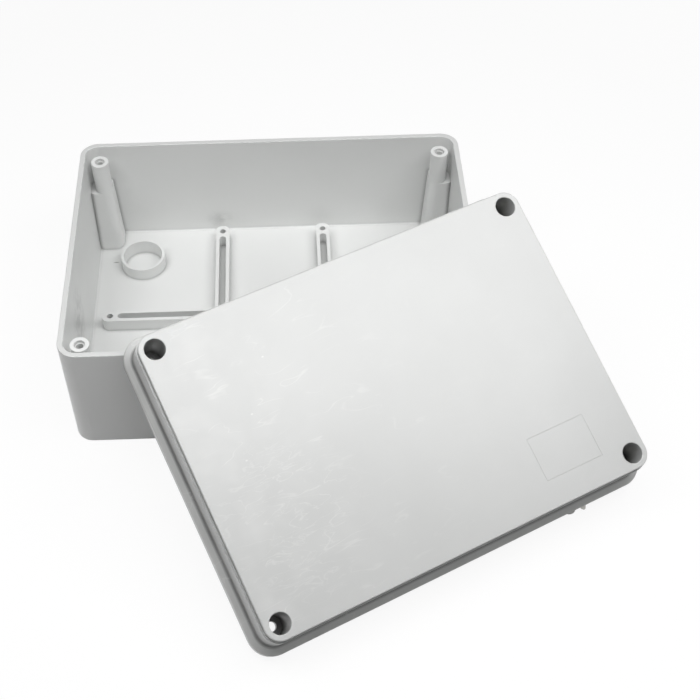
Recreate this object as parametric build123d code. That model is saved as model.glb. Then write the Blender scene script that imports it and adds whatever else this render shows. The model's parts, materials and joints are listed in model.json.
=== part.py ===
from build123d import *
import math
import os

os.makedirs("parts", exist_ok=True)

# Screw-lid enclosure shown open: the base stands on its floor and the lid
# leans against the front right corner of the rim.
# Millimetres, Z up, origin at the middle of the underside of the base.

# Base box
base_length = 196.0
base_width = 147.0
base_height = 63.5
wall = 2.7
floor_thickness = 2.7
corner_radius = 9.0
wall_draft = 0.45
bottom_round = 1.2
cavity_round = 1.0
rim_round = 0.4

# Corner pillars that take the lid screws
screw_inset_x = 9.7
screw_inset_y = 10.5
pillar_radius = 4.45
pillar_drop = 3.5
pillar_block_height = 41.8
pillar_block_flare = 2.0
pilot_radius = 1.7
pilot_depth = 20.0
pilot_mouth_radius = 2.55
pilot_mouth_depth = 1.4

# Slotted ribs and knock-out rings on the floor
rib_width = 7.2
rib_height = 7.4
rib_pitch_x = 54.6
rib_hole_inset_x = 12.9
rib_hole_inset_y = 13.0
rib_hole_radius = 1.6
rib_end = 4.1
rib_hole_depth = 8.2
slot_width = 3.6
slot_depth = 6.9
slot_setback = 4.0
ring_radius = 11.8
ring_wall = 1.5
ring_inset_x = 27.7
ring_inset_y = 29.3
membrane_recess = 1.2

# Lid, measured down from its top face
lid_overhang = 1.8
plate_margin = 7.15
ledge_width = 0.8
shoulder_spread = 0.3
plate_thickness = 3.0
step_depth = 4.1
shoulder_depth = 18.3
lip_depth = 21.0
lid_depth = 26.0
plate_round = 0.5
ledge_round = 0.15
shoulder_round = 0.8
lip_round = 0.4
skirt_clearance = 0.3
tongue_clearance = 0.4
tongue_thickness = 1.6

# Gasket channel in the lid and the seal that fills it
channel_depth = 21.2
rim_depth = 22.6
gasket_clearance = 0.05

# Screw wells of the lid
well_radius = 4.65
well_depth = 22.5
well_mouth_round = 0.35
boss_radius = 6.2
boss_clearance = 0.2
screw_hole_radius = 2.2

# Faint label field on the lid face
label_length = 29.5
label_width = 20.5
label_inset_x = 25.05
label_inset_y = 17.05
label_line = 0.35
label_cut = 0.12

# Lid screws and their sealing washers
thread_radius = 1.95
core_radius = 1.4
thread_pitch = 1.7
thread_length = 11.5
screw_length = 13.0
tip_length = 3.0
tip_radius = 0.5
head_radius = 3.9
head_height = 2.6
head_round = 0.7
recess_length = 4.4
recess_width = 1.0
recess_depth = 1.5
washer_radius = 3.4
washer_bore = 2.02
washer_thickness = 1.2
washer_round = 0.3
seat_clearance = 0.04
screw_raise = 3.5

# How the lid leans and where the loose screws and the washer lie
lid_swing = 89.37
lid_tilt = 27.8
lean_ratio = 0.475
rest_gap = 0.3
floor_gap = 0.05
screw_station = 0.68
screw_reach = 0.7
washer_reach = -0.7

half_x = base_length / 2 - screw_inset_x
half_y = base_width / 2 - screw_inset_y
corners = [(sx, sy) for sx in (-1, 1) for sy in (-1, 1)]
inner_radius = corner_radius - wall
lip_length = base_length + 2 * lid_overhang
lip_width = base_width + 2 * lid_overhang
lip_radius = corner_radius + lid_overhang
rib_top = floor_thickness + rib_height


def outline(length, width, radius, level):
    return Pos(0, 0, level) * RectangleRounded(length, width, radius)


def prism(length, width, radius, low, high):
    return extrude(outline(length, width, radius, low), high - low)


def tapered(length, width, radius, low, high, shrink):
    bottom = outline(length - 2 * shrink, width - 2 * shrink, radius - shrink, low)
    top = outline(length, width, radius, high)
    return loft([bottom, top], ruled=True)


# Base shell
shrink = base_height * math.tan(math.radians(wall_draft))
outer = tapered(base_length, base_width, corner_radius, 0, base_height, shrink)
envelope = outer
outer = fillet(outer.edges().group_by(Axis.Z)[0], bottom_round)
cavity = tapered(
    base_length - 2 * wall,
    base_width - 2 * wall,
    inner_radius,
    floor_thickness,
    base_height,
    shrink,
)
cavity = fillet(cavity.edges().group_by(Axis.Z)[0], cavity_round)
base = outer - cavity
rim_edges = base.faces().sort_by(Axis.Z)[-1].edges()
base = fillet(rim_edges, rim_round)

# Pillars, each carried by a block that fills its corner of the box
pillar_top = base_height - pillar_drop
block_x = base_length / 2 - wall / 2 - half_x + pillar_radius
block_y = base_width / 2 - wall / 2 - half_y + pillar_radius


def block_outline(sx, sy, flare, level):
    length = block_x + flare
    width = block_y + flare
    x = half_x + block_x - pillar_radius - length / 2
    y = half_y + block_y - pillar_radius - width / 2
    return Pos(sx * x, sy * y, level) * RectangleRounded(length, width, pillar_radius)


for sx, sy in corners:
    pillar = Pos(sx * half_x, sy * half_y, floor_thickness / 2) * extrude(
        Circle(pillar_radius), pillar_top - floor_thickness / 2
    )
    block = loft(
        [
            block_outline(sx, sy, pillar_block_flare, floor_thickness / 2),
            block_outline(sx, sy, 0, pillar_block_height),
        ],
        ruled=True,
    )
    block = block & envelope
    base = base + pillar + block
for sx, sy in corners:
    top = Pos(sx * half_x, sy * half_y, pillar_top)
    base = base - top * extrude(Circle(pilot_radius), -pilot_depth)
    base = base - top * extrude(Circle(pilot_mouth_radius), -pilot_mouth_depth)

# Floor ribs: two from front to back and one across, with a slot along each
rib_hole_x = base_length / 2 - rib_hole_inset_x
rib_hole_y = base_width / 2 - rib_hole_inset_y
rib_y_length = 2 * (rib_hole_y + rib_end)
rib_x_length = 2 * (rib_hole_x + rib_end)
rib_corner = 0.45 * rib_width
slot_y_length = 2 * (rib_hole_y - slot_setback)
slot_x_length = 2 * (rib_hole_x - slot_setback)
rib_plan = RectangleRounded(rib_x_length, rib_width, rib_corner)
slot_plan = SlotOverall(slot_x_length, slot_width)
for sx in (-1, 1):
    rib_plan = rib_plan + Pos(sx * rib_pitch_x / 2, 0) * RectangleRounded(
        rib_width, rib_y_length, rib_corner
    )
    slot_plan = slot_plan + Pos(sx * rib_pitch_x / 2, 0) * SlotOverall(
        slot_y_length, slot_width, rotation=90
    )
ribs = Pos(0, 0, floor_thickness / 2) * extrude(rib_plan, rib_top - floor_thickness / 2)
base = base + ribs
base = base - Pos(0, 0, rib_top) * extrude(slot_plan, -slot_depth)
plate_holes = [(sx * rib_pitch_x / 2, sy * rib_hole_y) for sx, sy in corners]
side_holes = [(sx * rib_hole_x, 0) for sx in (-1, 1)]
for x, y in plate_holes + side_holes:
    base = base - Pos(x, y, rib_top) * extrude(Circle(rib_hole_radius), -rib_hole_depth)

# Knock-out rings around thin floor
ring_x = base_length / 2 - ring_inset_x
ring_y = base_width / 2 - ring_inset_y
for sx, sy in corners:
    at = Pos(sx * ring_x, sy * ring_y, 0)
    ring = Circle(ring_radius) - Circle(ring_radius - ring_wall)
    base = base + at * Pos(0, 0, floor_thickness / 2) * extrude(
        ring, rib_top - floor_thickness / 2
    )
    base = base - at * Pos(0, 0, floor_thickness) * extrude(
        Circle(ring_radius - ring_wall), -membrane_recess
    )


# Lid, built around its own frame with the top face at zero. The corners of the
# plate and of the wall below it run round the screw wells at an even margin.
def around_wells(margin, level):
    return outline(2 * (half_x + margin), 2 * (half_y + margin), margin, level)


cap_margin = plate_margin + ledge_width
shoulder_margin = cap_margin + shoulder_spread
cap = extrude(around_wells(plate_margin, -step_depth), step_depth)
cap = fillet(cap.edges().group_by(Axis.Z)[-1], plate_round)
body = loft(
    [around_wells(shoulder_margin, -shoulder_depth), around_wells(cap_margin, -step_depth)],
    ruled=True,
)
body = fillet(body.edges().group_by(Axis.Z)[-1], ledge_round)
lip_outline = outline(lip_length, lip_width, lip_radius, -lip_depth)
shoulder = loft([lip_outline, around_wells(shoulder_margin, -shoulder_depth)], ruled=True)
lip = extrude(lip_outline, lip_depth - lid_depth)
lip = shoulder + lip
lip = fillet(lip.edges().group_by(Axis.Z)[0], lip_round)
lip_shoulder = lip.edges().filter_by(lambda e: abs(e.center().Z + lip_depth) < 0.01)
lip = fillet(lip_shoulder, shoulder_round)
lid = cap + body + lip

tongue_out = wall + tongue_clearance
tongue_in = tongue_out + tongue_thickness
lid_cavity = prism(
    base_length - 2 * tongue_in,
    base_width - 2 * tongue_in,
    corner_radius - tongue_in,
    -lid_depth,
    -plate_thickness,
)
lid = lid - lid_cavity

# Bosses that carry the wells down to the pillars
boss_depth = rim_depth + pillar_drop - boss_clearance
for sx, sy in corners:
    lid = lid + Pos(sx * half_x, sy * half_y, -boss_depth) * extrude(
        Circle(boss_radius), boss_depth - plate_thickness / 2
    )

# Channel that drops over the rim of the base
channel_out = outline(
    base_length + 2 * skirt_clearance,
    base_width + 2 * skirt_clearance,
    corner_radius + skirt_clearance,
    -lid_depth,
)
channel_in = outline(
    base_length - 2 * tongue_out,
    base_width - 2 * tongue_out,
    corner_radius - tongue_out,
    -lid_depth,
)
lid = lid - extrude(channel_out - channel_in, lid_depth - channel_depth)

for sx, sy in corners:
    at = Pos(sx * half_x, sy * half_y, 0)
    lid = lid - at * extrude(Circle(well_radius), -well_depth)
    lid = lid - at * extrude(Circle(screw_hole_radius), -lid_depth)
well_mouths = (
    lid.edges()
    .filter_by(GeomType.CIRCLE)
    .filter_by(lambda e: abs(e.center().Z) < 0.01 and abs(e.radius - well_radius) < 0.01)
)
lid = fillet(well_mouths, well_mouth_round)

label = Rectangle(label_length, label_width)
label = label - Rectangle(label_length - 2 * label_line, label_width - 2 * label_line)
label_x = lip_length / 2 - label_inset_x - label_length / 2
label_y = lip_width / 2 - label_inset_y - label_width / 2
lid = lid - Pos(label_x, -label_y, 0) * extrude(label, -label_cut)

gasket_out = outline(
    base_length + 2 * (skirt_clearance - gasket_clearance),
    base_width + 2 * (skirt_clearance - gasket_clearance),
    corner_radius + skirt_clearance - gasket_clearance,
    -rim_depth,
)
gasket_in = outline(
    base_length - 2 * (tongue_out - gasket_clearance),
    base_width - 2 * (tongue_out - gasket_clearance),
    corner_radius - tongue_out + gasket_clearance,
    -rim_depth,
)
gasket = extrude(gasket_out - gasket_in, rim_depth - channel_depth - gasket_clearance)

# Lid screw: thread ridges on a core, a tapered tip and a crossed recess
profile = [(0, 0), (core_radius, 0)]
thread_start = screw_length - thread_length
ridge_count = int((thread_length - tip_length) / thread_pitch)
for i in range(ridge_count):
    z = -thread_start - i * thread_pitch
    profile.append((core_radius, z - 0.15 * thread_pitch))
    profile.append((thread_radius, z - 0.5 * thread_pitch))
    profile.append((core_radius, z - 0.85 * thread_pitch))
shank_end = -screw_length + tip_length
profile.append((core_radius, shank_end + 0.1 * thread_pitch))
profile.append((thread_radius, shank_end - 0.2 * tip_length))
profile.append((0.8 * core_radius, shank_end - 0.45 * tip_length))
profile.append((core_radius, shank_end - 0.6 * tip_length))
profile.append((tip_radius, -screw_length))
profile.append((0, -screw_length))
shank = revolve(Plane.XZ * make_face(Polyline(*profile, close=True)), Axis.Z)
head = extrude(Circle(head_radius), head_height)
head = fillet(head.edges().group_by(Axis.Z)[-1], head_round)
cross = Rectangle(recess_length, recess_width) + Rectangle(recess_width, recess_length)
screw = shank + head - Pos(0, 0, head_height) * extrude(cross, -recess_depth)

washer = extrude(Circle(washer_radius) - Circle(washer_bore), washer_thickness)
washer = fillet(washer.edges().group_by(Axis.Z)[-1], washer_round)

# Pose of the lid. The loose screw under the front edge lifts that edge a
# little on the right, the left end of the edge stands on the floor, and the
# underside of the plate leans on the rim corner. The swing is how much nearer
# to the viewer the left end of the lid lies than its right end.
lift = 2 * thread_radius - rest_gap
edge_reach = lip_length / 2 * (1 + screw_station) - lip_radius
tilt = math.radians(lid_tilt)
roll = math.degrees(math.asin(lift / edge_reach / math.cos(tilt)))
lid_turn = math.degrees(math.asin(lid_swing / lip_length))
turned = Rot(Z=lid_turn) * Rot(X=lid_tilt) * Rot(Y=-roll)
axis_x = (turned * Pos(1, 0, 0)).position
axis_y = (turned * Pos(0, 1, 0)).position
axis_z = (turned * Pos(0, 0, 1)).position

# Highest point of the rim in the direction of the lid face
flat = math.hypot(axis_z.X, axis_z.Y)
reach = corner_radius - rim_round
lean = Vector(
    base_length / 2 - corner_radius + reach * axis_z.X / flat + rim_round * axis_z.X,
    -base_width / 2 + corner_radius + reach * axis_z.Y / flat + rim_round * axis_z.Y,
    base_height - rim_round + rim_round * axis_z.Z,
)

# Lowest point of the lip edge in the frame of the lid
down = math.hypot(axis_x.Z, axis_y.Z)
low_x = -(lip_length / 2 - lip_radius) - lip_radius * axis_x.Z / down
low_y = -(lip_width / 2 - lip_radius) - lip_radius * axis_y.Z / down
origin_z = rest_gap - low_x * axis_x.Z - low_y * axis_y.Z + lid_depth * axis_z.Z
lean_x = lean_ratio * lip_length / 2
lean_z = -plate_thickness - rest_gap
lean_y = (lean.Z - origin_z - lean_x * axis_x.Z - lean_z * axis_z.Z) / axis_y.Z
origin = lean - axis_x * lean_x - axis_y * lean_y - axis_z * lean_z
lid_at = Pos(origin.X, origin.Y, origin.Z) * turned

# Two screws lie on the floor under the lid, heads side by side. One has kept
# its washer under its head. The tip of the other shows beyond the lip, and so
# does the edge of its washer, which lies flat next to it.
outward = Vector(-axis_y.X, -axis_y.Y, 0).normalized()
aside = Vector(outward.Y, -outward.X, 0)
heading = math.degrees(math.atan2(outward.Y, outward.X))
slope = math.atan2(head_radius - thread_radius, screw_length - 0.8 * tip_length)
edge = origin + axis_x * (screw_station * lip_length / 2)
edge = edge - axis_y * (lip_width / 2) - axis_z * lid_depth


def beside(forward, left, height):
    spot = edge + outward * forward + aside * left
    return Pos(spot.X, spot.Y, floor_gap + height)


def lying(forward, left, turn):
    at = beside(forward, left, head_radius * math.cos(slope))
    return at * Rot(Z=heading + turn) * Rot(Y=math.degrees(slope) - 90)


head_reach = screw_reach - screw_length * math.cos(slope)
shown_at = lying(head_reach, 0, 0)
hidden_at = lying(head_reach - head_height, 2 * head_radius + rest_gap, 180)
washer_left = thread_radius + rest_gap + washer_radius
washer_at = beside(washer_reach - washer_radius, washer_left, 0)

export_step(base, "parts/base_shell.step")
export_step(lid_at * lid, "parts/lid_cover.step")
export_step(lid_at * gasket, "parts/lid_gasket.step")

# Two screws with their washers wait in the wells on the right, backed out of
# their seats
raised = Pos(0, 0, washer_thickness + seat_clearance + screw_raise)
seats = [lid_at * Pos(half_x, sy * half_y, seat_clearance - well_depth) for sy in (1, -1)]
for number, seat in enumerate(seats, start=1):
    export_step(seat * washer, f"parts/screw_washer_{number}.step")
    export_step(seat * raised * screw, f"parts/lid_screw_{number}.step")
under_head = Pos(0, 0, -seat_clearance - washer_thickness)
export_step(hidden_at * screw, "parts/lid_screw_3.step")
export_step(hidden_at * under_head * washer, "parts/screw_washer_3.step")
export_step(shown_at * screw, "parts/lid_screw_4.step")
export_step(washer_at * washer, "parts/screw_washer_4.step")
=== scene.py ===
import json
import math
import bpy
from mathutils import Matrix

bl_info = {
    "name": "Screw-lid enclosure",
    "version": (1, 0, 0),
    "blender": (4, 5, 0),
    "location": "3D View > Sidebar > Enclosure",
    "description": "Dresses a moulded plastic enclosure with its lid off",
    "category": "Object",
}

import bmesh
import bpy
from mathutils import Matrix, Vector

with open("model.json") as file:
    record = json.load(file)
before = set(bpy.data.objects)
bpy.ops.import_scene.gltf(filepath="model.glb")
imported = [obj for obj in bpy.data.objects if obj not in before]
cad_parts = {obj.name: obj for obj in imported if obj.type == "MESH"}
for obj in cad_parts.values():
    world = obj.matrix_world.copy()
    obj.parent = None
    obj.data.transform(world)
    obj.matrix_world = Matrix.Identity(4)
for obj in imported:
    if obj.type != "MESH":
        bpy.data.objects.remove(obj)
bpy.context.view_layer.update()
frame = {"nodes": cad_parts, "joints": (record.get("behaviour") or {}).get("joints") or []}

MM = 0.001
PHOTO_WIDTH = 700
SENSOR_WIDTH = 36.0

# Where the camera stood and its turn in degrees, worked out from the rim, the
# floor and the lid wells
CAMERA_PLACE = Vector((8.14, -449.27, 497.18)) * MM
CAMERA_TURN = (40.576, 0.937, -1.567)
CAMERA_FOCUS_PIXELS = 1279.84
CAMERA_CENTRE_X = 298.5
CAMERA_CENTRE_Y = 357.26

# The lid's wells from its middle, how far its screws' joints lie below its face,
# and its whole depth
WELL_X, WELL_Y = 88.3 * MM, 63 * MM
SCREW_JOINT_DEPTH = 20 * MM
LID_DEPTH_MM = 26

ABS_IOR = 1.54

# Name, place, side in metres and power in watts of each lamp
SOFTBOXES = (
    ("left_front_softbox", (-0.26, -0.15, 0.52), 0.27, 0.68),
    ("left_softbox", (-0.26, -0.06, 0.52), 0.27, 0.52),
    ("middle_softbox", (0.06, -0.16, 0.52), 0.27, 1.00),
    ("right_softbox", (0.34, -0.10, 0.52), 0.27, 1.16),
    ("front_right_softbox", (0.33, -0.33, 0.57), 0.33, 0.16),
)


def linear(hex_colour):
    """sRGB hex to the linear values that Blender's sockets take."""
    channels = [int(hex_colour[i : i + 2], 16) / 255 for i in (1, 3, 5)]
    return tuple(
        c / 12.92 if c <= 0.04045 else ((c + 0.055) / 1.055) ** 2.4 for c in channels
    )


def rgba(colour):
    return (*colour, 1.0)


def grain(size_mm):
    """Scale of a texture whose features are that many millimetres apart."""
    return 1 / (size_mm * MM)


def add(material, kind, inputs=None, **options):
    """Adds a shader node; an input is a value, or the node or output that feeds it."""
    tree = material.node_tree
    node = tree.nodes.new("ShaderNode" + kind)
    for name, value in options.items():
        setattr(node, name, value)
    for socket, given in (inputs or {}).items():
        if isinstance(given, bpy.types.Node):
            given = given.outputs[0]
        if isinstance(given, bpy.types.NodeSocket):
            tree.links.new(given, node.inputs[socket])
        else:
            node.inputs[socket].default_value = given
    return node


def new_material(name):
    material = bpy.data.materials.new(name)
    material.use_nodes = True
    material.node_tree.nodes.clear()
    return material


def joint(name):
    return next(j for j in frame["joints"] if j["name"] == name)


def lid_frame():
    """Matrix from the lid's own frame, its origin in the middle of its face."""
    at_back, at_front = (joint(f"screw_{i}_turn") for i in (1, 2))
    back_screw, front_screw = (Vector(j["pos_m"]) for j in (at_back, at_front))
    face = Vector(at_back["axis"]).normalized()
    back = (back_screw - front_screw).normalized()
    right = back.cross(face)
    between_screws = (back_screw + front_screw) / 2
    centre = between_screws + face * SCREW_JOINT_DEPTH - right * WELL_X
    turn = Matrix((right, back, face)).transposed().to_4x4()
    return Matrix.Translation(centre) @ turn


LID = lid_frame()


class EnclosureSettings(bpy.types.PropertyGroup):
    base_colour: bpy.props.FloatVectorProperty(
        name="Base colour",
        description="Colour of the plastic of the base",
        subtype="COLOR",
        min=0,
        max=1,
        default=linear("#E6E7E6"),
    )
    # Darker than the base's grey: painted shade that evens out the stronger light and
    # sheen on the lid
    lid_colour: bpy.props.FloatVectorProperty(
        name="Lid colour",
        description="Colour of the plastic of the lid",
        subtype="COLOR",
        min=0,
        max=1,
        default=linear("#CBCCCB"),
    )
    seal_colour: bpy.props.FloatVectorProperty(
        name="Seal colour",
        description="Colour of the foam seal in the lid",
        subtype="COLOR",
        min=0,
        max=1,
        default=linear("#2B2B2C"),
    )
    washer_colour: bpy.props.FloatVectorProperty(
        name="Washer colour",
        description="Colour of the nylon washers",
        subtype="COLOR",
        min=0,
        max=1,
        default=linear("#F0F0EC"),
    )
    edge_radius: bpy.props.FloatProperty(
        name="Edge radius",
        description="Radius that catches the light along moulded edges",
        subtype="DISTANCE",
        unit="LENGTH",
        min=0,
        default=0.15 * MM,
    )
    scuff_amount: bpy.props.FloatProperty(
        name="Scuffs",
        description="How much the handling marks on the lid show",
        subtype="FACTOR",
        min=0,
        max=1,
        default=0.4,
    )
    floor_size: bpy.props.FloatProperty(
        name="Floor size",
        description="Side of the studio floor",
        subtype="DISTANCE",
        unit="LENGTH",
        min=1,
        default=6.0,
    )
    paper_glow: bpy.props.FloatProperty(
        name="Paper glow",
        description="How much of the white of the floor does not depend on the light",
        subtype="FACTOR",
        min=0,
        max=1,
        default=0.91,
    )


def settings():
    """The values that are set in the panel."""
    return bpy.context.scene.enclosure


# The first sockets of a Map Range node are the value, from where to where it
# runs, and what it becomes at those two ends. Mix takes its factor at 0, plain
# numbers at 2 and 3, and colours at 6 and 7.


def painted_crevice_shade(material, reach_mm, darkest):
    """Painted shade in grooves and corners, darker where they are closer in; 1 on open
    surfaces.
    """
    openness = add(material, "AmbientOcclusion", {"Distance": reach_mm * MM}, samples=8)
    return add(
        material, "MapRange", {0: openness.outputs["AO"], 1: 0.35, 2: 0.9, 3: darkest}
    )


def nearness(material, place, centre_mm, radii_mm):
    """1 at a point of a piece, falling to 0 at the surface of an ellipsoid round it."""
    centred = add(
        material,
        "Mapping",
        {
            "Vector": place,
            "Location": [c * MM for c in centre_mm],
            "Scale": [r * MM for r in radii_mm],
        },
        vector_type="TEXTURE",
    )
    far = add(material, "VectorMath", {0: centred}, operation="LENGTH")
    return add(material, "MapRange", {0: far.outputs["Value"], 3: 1.0, 4: 0.0})


def moulded_skin(material, place, peel_mm, peel_depth_mm):
    """Normal of a moulded surface: rounded edges, orange peel and a slow waviness."""
    edge = add(material, "Bevel", {"Radius": settings().edge_radius}, samples=6)
    wave = add(
        material, "TexNoise", {"Vector": place, "Scale": grain(26), "Detail": 1.0}
    )
    wavy = add(
        material,
        "Bump",
        {"Strength": 0.25, "Distance": 0.05 * MM, "Height": wave, "Normal": edge},
    )
    peel = add(
        material,
        "TexNoise",
        {"Vector": place, "Scale": grain(peel_mm), "Detail": 3.0, "Roughness": 0.6},
    )
    return add(
        material,
        "Bump",
        {
            "Strength": 0.5,
            "Distance": peel_depth_mm * MM,
            "Height": peel,
            "Normal": wavy,
        },
    )


def marks_on_base(material, place):
    """Shade of a rubbed patch on the left wall and a smear over a rib."""
    rubbed = nearness(material, place, (-94.8, -26, 36), (2.4, 17, 20))
    over_rib = nearness(material, place, (-29, 70.3, 10), (8, 2.4, 8))
    smear = add(material, "MapRange", {0: over_rib, 4: 0.5})
    patchy = add(
        material,
        "TexNoise",
        {"Vector": place, "Scale": grain(6), "Detail": 4.0, "Roughness": 0.6},
    )
    patches = add(material, "MapRange", {0: patchy, 1: 0.38, 2: 0.6})
    worn = add(material, "Math", {0: rubbed, 1: smear}, operation="MAXIMUM")
    grime = add(material, "Math", {0: worn, 1: patches}, operation="MULTIPLY")
    return add(material, "MapRange", {0: grime, 2: 0.6, 3: 1.0, 4: 0.72})


def base_abs():
    """Light grey ABS, injection moulded in a polished mould: satin, a few marks."""
    material = new_material("base_moulded_abs")
    place = add(material, "TexCoord").outputs["Object"]
    cloud = add(
        material,
        "TexNoise",
        {"Vector": place, "Scale": grain(55), "Detail": 2.0, "Roughness": 0.5},
    )
    shade = add(material, "MapRange", {0: cloud, 1: 0.3, 2: 0.7, 3: 0.98, 4: 1.01})
    # A nick in the floor beside the left ring
    by_ring = nearness(material, place, (-85.6, 46.4, 3.1), (2.2, 0.55, 0.8))
    nick = add(material, "MapRange", {0: by_ring, 2: 0.5, 3: 1.0, 4: 0.35})
    # Painted shade: the top of the rim is a little darker than the walls
    height = add(material, "SeparateXYZ", {0: place}).outputs["Z"]
    painted_rim_top_shade = add(
        material, "MapRange", {0: height, 1: 62.8 * MM, 2: 63.3 * MM, 3: 1.0, 4: 0.87}
    )
    # Painted shade in the inner corners and round the ribs, rings and pillars
    painted_corner_shade = painted_crevice_shade(material, 2.5, 0.62)
    for layer in (marks_on_base(material, place), nick, painted_corner_shade, painted_rim_top_shade):
        shade = add(material, "Math", {0: shade, 1: layer}, operation="MULTIPLY")
    colour = add(
        material,
        "Mix",
        {0: 1.0, 6: rgba(settings().base_colour), 7: shade},
        data_type="RGBA",
        blend_type="MULTIPLY",
    )
    wear = add(
        material,
        "TexNoise",
        {"Vector": place, "Scale": grain(12), "Detail": 3.0, "Roughness": 0.5},
    )
    gloss = add(material, "MapRange", {0: wear, 1: 0.3, 2: 0.7, 3: 0.29, 4: 0.34})
    plastic = add(
        material,
        "BsdfPrincipled",
        {
            "IOR": ABS_IOR,
            "Base Color": colour.outputs[2],
            "Roughness": gloss,
            "Normal": moulded_skin(material, place, 2.4, 0.006),
        },
    )
    add(material, "OutputMaterial", {"Surface": plastic})
    return material


def fine_lines(material, place, apart_mm, wander, width, strength):
    """Thin curved lines, where a slow noise passes through its middle value."""
    flow = add(
        material, "TexNoise", {"Vector": place, "Scale": grain(apart_mm), **wander}
    )
    off_middle = add(material, "Math", {0: flow, 1: 0.5}, operation="SUBTRACT")
    away = add(material, "Math", {0: off_middle}, operation="ABSOLUTE")
    return add(material, "MapRange", {0: away, 2: width, 3: strength, 4: 0.0})


def rubbing_marks(material, on_lid):
    """Fine curved scratches, most of them at the lid's left end, and a few nicks."""
    drawn_out = add(material, "Mapping", {"Vector": on_lid, "Scale": (0.28, 1, 1)})
    along = add(material, "SeparateXYZ", {0: on_lid}).outputs["X"]
    where = add(
        material, "TexNoise", {"Vector": on_lid, "Scale": grain(17), "Detail": 2.0}
    )
    long_ones = fine_lines(
        material,
        drawn_out,
        9,
        {"Detail": 2.0, "Roughness": 0.45, "Distortion": 0.5},
        0.016,
        0.8,
    )
    in_places = add(material, "MapRange", {0: where, 1: 0.46, 2: 0.62})
    fewer = {1: -80 * MM, 2: 20 * MM, 3: 1.0, 4: 0.08}
    fewer_to_right = add(material, "MapRange", {0: along, **fewer})
    cloudy = add(material, "MapRange", {0: where, 1: 0.45, 2: 0.7, 4: 0.35})
    left_end = {1: -90 * MM, 2: -20 * MM, 3: 1.0, 4: 0.0}
    at_left_end = add(material, "MapRange", {0: along, **left_end})
    # A denser bundle of finer lines where the lid was rubbed most
    short_ones = fine_lines(
        material,
        drawn_out,
        5,
        {"Detail": 3.0, "Roughness": 0.5, "Distortion": 0.8},
        0.02,
        0.5,
    )
    most_rubbed = nearness(material, on_lid, (-66, -26, 0), (40, 44, 20))
    in_bundle = add(material, "MapRange", {0: most_rubbed, 2: 0.5})

    placed = add(material, "Math", {0: long_ones, 1: in_places}, operation="MULTIPLY")
    scratches = add(
        material, "Math", {0: placed, 1: fewer_to_right}, operation="MULTIPLY"
    )
    haze = add(material, "Math", {0: cloudy, 1: at_left_end}, operation="MULTIPLY")
    bundle = add(material, "Math", {0: short_ones, 1: in_bundle}, operation="MULTIPLY")
    nicks = []
    for nick_mm in ((-47, 42.1, 0), (-72.5, 3.8, 0), (-62, 21, 0)):
        spot = nearness(material, on_lid, nick_mm, (0.7, 0.5, 0.5))
        nicks.append(add(material, "MapRange", {0: spot, 2: 0.6}))
    marks = scratches
    for layer in (bundle, haze, *nicks):
        marks = add(material, "Math", {0: marks, 1: layer}, operation="MAXIMUM")
    return add(
        material, "Math", {0: marks, 1: settings().scuff_amount}, operation="MULTIPLY"
    )


def rim_of_lid(material, on_lid):
    """1 on the stepped sides of the lid, 0 on its face and in its screw wells."""
    across = add(material, "VectorMath", {0: on_lid}, operation="ABSOLUTE")
    wells = (WELL_X, WELL_Y, 1)
    past_wells = add(
        material, "VectorMath", {0: across, 1: wells}, operation="SUBTRACT"
    )
    outward = add(
        material, "VectorMath", {0: past_wells, 1: (0, 0, 0)}, operation="MAXIMUM"
    )
    distance = add(material, "VectorMath", {0: outward}, operation="LENGTH")
    return add(
        material, "MapRange", {0: distance.outputs["Value"], 1: 6.2 * MM, 2: 6.8 * MM}
    )


def painted_rim_shade(material, depth):
    """Painted shade in grey lines down the lid's sides, by the depth below its face."""
    down = add(
        material, "MapRange", {0: depth, 1: 0.0, 2: -LID_DEPTH_MM * MM, 3: 0.0, 4: 1.0}
    )
    painted_rim_lines = add(material, "ValToRGB", {0: down})
    shades_by_mm = (
        (0.5, 1.0),
        (1.0, 0.45),
        (3.7, 0.40),
        (3.95, 1.0),
        (4.6, 1.0),
        (13.0, 0.9),
        (17.2, 0.25),
        (18.6, 0.35),
        (19.3, 1.0),
        (23.4, 1.0),
        (26.0, 0.8),
    )
    stops = painted_rim_lines.color_ramp.elements
    while len(stops) < len(shades_by_mm):
        stops.new(0.5)
    for stop, (mm, shade) in zip(stops, shades_by_mm):
        stop.position = mm / LID_DEPTH_MM
        stop.color = rgba((shade, shade, shade))
    return painted_rim_lines


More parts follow.
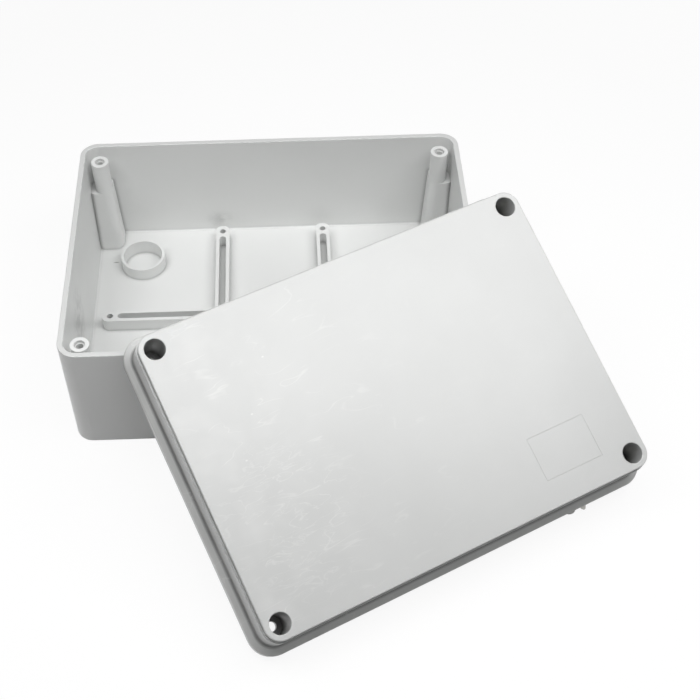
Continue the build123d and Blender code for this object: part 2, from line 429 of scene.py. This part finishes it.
def lid_abs():
    """Light grey ABS of the lid: a flat satin face with wispy handling marks."""
    material = new_material("lid_moulded_abs")
    place = add(material, "TexCoord").outputs["Object"]
    on_lid = add(
        material,
        "Mapping",
        {"Vector": place, "Location": LID.translation, "Rotation": LID.to_euler()},
        vector_type="TEXTURE",
    )
    parts = add(material, "SeparateXYZ", {0: on_lid})
    along, depth = parts.outputs["X"], parts.outputs["Z"]
    outside = rim_of_lid(material, on_lid)
    # Painted shade along the lower edge of the lip, at its left end only
    painted_lip_shade = add(
        material, "MapRange", {0: depth, 1: -26.2 * MM, 2: -23.6 * MM, 3: 0.35}
    )
    past_left = add(material, "MapRange", {0: along, 1: -96 * MM, 2: -94 * MM})
    left_edge = add(material, "Math", {0: painted_lip_shade, 1: past_left}, operation="MAXIMUM")
    # Painted shade in lines down the stepped sides of the lid
    painted_rim_lines = painted_rim_shade(material, depth)
    on_rim = add(material, "Math", {0: painted_rim_lines, 1: left_edge}, operation="MULTIPLY")
    sides = add(material, "Mix", {0: outside, 2: 1.0, 3: on_rim}, data_type="FLOAT")
    # The painted shade stays off the flat face, so the outline cut in it stays faint, and
    # off the sides; it darkens the screw wells
    face = add(material, "MapRange", {0: depth, 1: -0.9 * MM, 2: -0.3 * MM})
    painted_well_shade = painted_crevice_shade(material, 8.0, 0.4)
    for left_unshaded in (outside, face):
        painted_well_shade = add(material, "Math", {0: painted_well_shade, 1: left_unshaded}, operation="MAXIMUM")
    cloud = add(
        material,
        "TexNoise",
        {"Vector": on_lid, "Scale": grain(45), "Detail": 3.0, "Roughness": 0.5},
    )
    shade = add(material, "MapRange", {0: cloud, 1: 0.3, 2: 0.7, 3: 0.975, 4: 1.015})
    for layer in (sides, painted_well_shade):
        shade = add(material, "Math", {0: shade, 1: layer}, operation="MULTIPLY")
    shaded = add(
        material,
        "Mix",
        {0: 1.0, 6: rgba(settings().lid_colour), 7: shade},
        data_type="RGBA",
        blend_type="MULTIPLY",
    )
    marks = rubbing_marks(material, on_lid)
    colour = add(
        material,
        "Mix",
        {0: marks, 6: shaded.outputs[2], 7: rgba(linear("#F6F6F4"))},
        data_type="RGBA",
    )
    wear = add(
        material,
        "TexNoise",
        {"Vector": on_lid, "Scale": grain(14), "Detail": 4.0, "Roughness": 0.6},
    )
    satin = add(material, "MapRange", {0: wear, 1: 0.3, 2: 0.7, 3: 0.285, 4: 0.315})
    rougher = add(material, "MapRange", {0: marks, 4: 0.2})
    gloss = add(material, "Math", {0: satin, 1: rougher}, operation="ADD")
    plastic = add(
        material,
        "BsdfPrincipled",
        {
            "IOR": ABS_IOR,
            "Base Color": colour.outputs[2],
            "Roughness": gloss,
            "Normal": moulded_skin(material, on_lid, 2.6, 0.005),
        },
    )
    add(material, "OutputMaterial", {"Surface": plastic})
    return material


def seal_foam():
    """Closed-cell foam rubber: dark, matt, with fine pores."""
    material = new_material("foam_rubber")
    place = add(material, "TexCoord").outputs["Object"]
    pores = add(material, "TexVoronoi", {"Vector": place, "Scale": grain(0.7)})
    bumps = add(
        material, "Bump", {"Strength": 0.6, "Distance": 0.1 * MM, "Height": pores}
    )
    shade = add(material, "MapRange", {0: pores, 2: 0.6, 3: 0.7, 4: 1.1})
    colour = add(
        material,
        "Mix",
        {0: 1.0, 6: rgba(settings().seal_colour), 7: shade},
        data_type="RGBA",
        blend_type="MULTIPLY",
    )
    foam = add(
        material,
        "BsdfPrincipled",
        {"Roughness": 0.9, "Base Color": colour.outputs[2], "Normal": bumps},
    )
    add(material, "OutputMaterial", {"Surface": foam})
    return material


def zinc_steel():
    """Zinc-plated steel: dull silver, a little blotchy where the plating is thin."""
    material = new_material("zinc_plated_steel")
    place = add(material, "TexCoord").outputs["Object"]
    blotch = add(
        material, "TexNoise", {"Vector": place, "Scale": grain(1.5), "Detail": 4.0}
    )
    colour = add(
        material,
        "Mix",
        {0: blotch, 6: rgba(linear("#8E8C88")), 7: rgba(linear("#B9B8B4"))},
        data_type="RGBA",
    )
    gloss = add(material, "MapRange", {0: blotch, 1: 0.3, 2: 0.7, 3: 0.28, 4: 0.45})
    steel = add(
        material,
        "BsdfPrincipled",
        {"Metallic": 1.0, "Base Color": colour.outputs[2], "Roughness": gloss},
    )
    add(material, "OutputMaterial", {"Surface": steel})
    return material


def washer_nylon():
    """Natural nylon: milky white and waxy."""
    material = new_material("natural_nylon")
    place = add(material, "TexCoord").outputs["Object"]
    milk = add(
        material, "TexNoise", {"Vector": place, "Scale": grain(2.5), "Detail": 3.0}
    )
    shade = add(material, "MapRange", {0: milk, 1: 0.3, 2: 0.7, 3: 0.93, 4: 1.0})
    colour = add(
        material,
        "Mix",
        {0: 1.0, 6: rgba(settings().washer_colour), 7: shade},
        data_type="RGBA",
        blend_type="MULTIPLY",
    )
    nylon = add(
        material,
        "BsdfPrincipled",
        {"Roughness": 0.45, "IOR": 1.53, "Base Color": colour.outputs[2]},
    )
    add(material, "OutputMaterial", {"Surface": nylon})
    return material


def dress(node_name, material):
    """Gives a CAD node its material through its object's slots."""
    node = frame["nodes"][node_name]
    if not node.material_slots:
        node.data.materials.append(material)
    for slot in node.material_slots:
        slot.material = material


class ENCLOSURE_OT_base_shell(bpy.types.Operator):
    """Gives the base its moulded plastic"""

    bl_idname = "enclosure.base_shell"
    bl_label = "Base shell"

    def execute(self, context):
        dress("base_shell", base_abs())
        return {"FINISHED"}


class ENCLOSURE_OT_lid_cover(bpy.types.Operator):
    """Gives the lid its moulded plastic"""

    bl_idname = "enclosure.lid_cover"
    bl_label = "Lid"

    def execute(self, context):
        dress("lid_cover", lid_abs())
        return {"FINISHED"}


class ENCLOSURE_OT_lid_gasket(bpy.types.Operator):
    """Gives the seal its foam"""

    bl_idname = "enclosure.lid_gasket"
    bl_label = "Seal"

    def execute(self, context):
        dress("lid_gasket", seal_foam())
        return {"FINISHED"}


class ENCLOSURE_OT_lid_screws(bpy.types.Operator):
    """Gives the four lid screws their plated steel"""

    bl_idname = "enclosure.lid_screws"
    bl_label = "Lid screws"

    def execute(self, context):
        steel = zinc_steel()
        for number in (1, 2, 3, 4):
            dress(f"lid_screw_{number}", steel)
        return {"FINISHED"}


class ENCLOSURE_OT_screw_washers(bpy.types.Operator):
    """Gives the four washers their nylon"""

    bl_idname = "enclosure.screw_washers"
    bl_label = "Washers"

    def execute(self, context):
        nylon = washer_nylon()
        for number in (1, 2, 3, 4):
            dress(f"screw_washer_{number}", nylon)
        return {"FINISHED"}


def seen_directly(material):
    """1 for camera, mirror and glass rays, 0 for light that bounces off matt things."""
    rays = add(material, "LightPath").outputs
    seen = rays["Is Camera Ray"]
    for kind in ("Is Glossy Ray", "Is Transmission Ray"):
        seen = add(material, "Math", {0: seen, 1: rays[kind]}, operation="MAXIMUM")
    return seen


def studio_paper():
    """Backdrop paper: bounces light as pale grey, shows white with a faint shadow."""
    material = new_material("white_backdrop_paper")
    paper = add(material, "BsdfDiffuse", {"Color": rgba(linear("#DCDCDC"))})
    shadowed = add(material, "BsdfDiffuse", {"Color": rgba(linear("#5A5A5A"))})
    place = add(material, "TexCoord").outputs["Object"]
    away = add(material, "VectorMath", {0: place}, operation="LENGTH").outputs["Value"]
    # Far from the object the paper runs out to the plain white of the backdrop
    strength = add(
        material, "MapRange", {0: away, 1: 0.3, 2: 1.0, 3: settings().paper_glow}
    )
    glow = add(material, "Emission", {"Color": (1, 1, 1, 1), "Strength": strength})
    shown = add(material, "AddShader", {0: shadowed, 1: glow})
    both = add(
        material, "MixShader", {0: seen_directly(material), 1: paper, 2: shown}
    )
    add(material, "OutputMaterial", {"Surface": both})
    return material


def studio_world():
    """White all round to the camera, and a faint light on the object from behind."""
    world = bpy.data.worlds.new("Studio")
    bpy.context.scene.world = world
    world.use_nodes = True
    world.node_tree.nodes.clear()
    towards = add(world, "TexCoord").outputs["Generated"]
    parts = add(world, "SeparateXYZ", {0: towards})
    level = add(world, "Math", {0: parts.outputs["Z"]}, operation="ABSOLUTE")
    low_down = add(world, "MapRange", {0: level, 3: 1.0, 4: 0.0})
    to_back = add(world, "MapRange", {0: parts.outputs["Y"], 3: 0.03, 4: 0.5})
    fill = add(world, "Math", {0: low_down, 1: to_back}, operation="MULTIPLY")
    around = add(world, "Background", {"Color": (1, 1, 1, 1), "Strength": fill})
    white = add(world, "Background", {"Color": (1, 1, 1, 1), "Strength": 1.0})
    both = add(world, "MixShader", {0: seen_directly(world), 1: around, 2: white})
    add(world, "OutputWorld", {"Surface": both})


def softbox(name, place, size, power):
    """A square lamp over the set, turned a little towards the middle of it."""
    light = bpy.data.lights.new(name, "AREA")
    light.size = size
    light.energy = power
    lamp = bpy.data.objects.new(name, light)
    lamp.location = place
    beam = Vector((0.6 * place[0], 0.6 * place[1], 0)) - Vector(place)
    lamp.rotation_euler = beam.to_track_quat("-Z", "Y").to_euler()
    bpy.context.scene.collection.objects.link(lamp)


def photo_camera():
    """The camera at the photograph's place, framed as the photograph is."""
    data = bpy.data.cameras.new("Camera")
    data.sensor_width = SENSOR_WIDTH
    data.lens = CAMERA_FOCUS_PIXELS * SENSOR_WIDTH / PHOTO_WIDTH
    data.shift_x = (PHOTO_WIDTH / 2 - CAMERA_CENTRE_X) / PHOTO_WIDTH
    data.shift_y = (CAMERA_CENTRE_Y - PHOTO_WIDTH / 2) / PHOTO_WIDTH
    data.clip_start, data.clip_end = 0.01, 20
    camera = bpy.data.objects.new("Camera", data)
    camera.location = CAMERA_PLACE
    camera.rotation_euler = [math.radians(a) for a in CAMERA_TURN]
    bpy.context.scene.collection.objects.link(camera)
    bpy.context.scene.camera = camera


class ENCLOSURE_OT_stage(bpy.types.Operator):
    """Sets the floor, the studio light and the camera"""

    bl_idname = "enclosure.stage"
    bl_label = "Studio"

    def execute(self, context):
        mesh = bpy.data.meshes.new("floor")
        form = bmesh.new()
        bmesh.ops.create_grid(
            form, x_segments=1, y_segments=1, size=settings().floor_size / 2
        )
        form.to_mesh(mesh)
        form.free()
        floor = bpy.data.objects.new("floor", mesh)
        bpy.context.scene.collection.objects.link(floor)
        mesh.materials.append(studio_paper())

        studio_world()
        for name, place, size, power in SOFTBOXES:
            softbox(name, place, size, power)
        context.scene.view_settings.view_transform = "Standard"
        photo_camera()
        return {"FINISHED"}


OPERATORS = (
    ENCLOSURE_OT_stage,
    ENCLOSURE_OT_base_shell,
    ENCLOSURE_OT_lid_cover,
    ENCLOSURE_OT_lid_gasket,
    ENCLOSURE_OT_lid_screws,
    ENCLOSURE_OT_screw_washers,
)


class ENCLOSURE_PT_panel(bpy.types.Panel):
    bl_label = "Enclosure"
    bl_idname = "ENCLOSURE_PT_panel"
    bl_space_type = "VIEW_3D"
    bl_region_type = "UI"
    bl_category = "Enclosure"

    def draw(self, context):
        column = self.layout.column()
        for name in EnclosureSettings.__annotations__:
            column.prop(context.scene.enclosure, name)
        for operator in OPERATORS:
            column.operator(operator.bl_idname)


CLASSES = (EnclosureSettings, *OPERATORS, ENCLOSURE_PT_panel)


def register():
    for item in CLASSES:
        bpy.utils.register_class(item)
    bpy.types.Scene.enclosure = bpy.props.PointerProperty(type=EnclosureSettings)


def unregister():
    del bpy.types.Scene.enclosure
    for item in reversed(CLASSES):
        bpy.utils.unregister_class(item)


def main():
    register()
    bpy.ops.enclosure.stage()
    bpy.ops.enclosure.base_shell()
    bpy.ops.enclosure.lid_cover()
    bpy.ops.enclosure.lid_gasket()
    bpy.ops.enclosure.lid_screws()
    bpy.ops.enclosure.screw_washers()


if __name__ == "__main__":
    main()
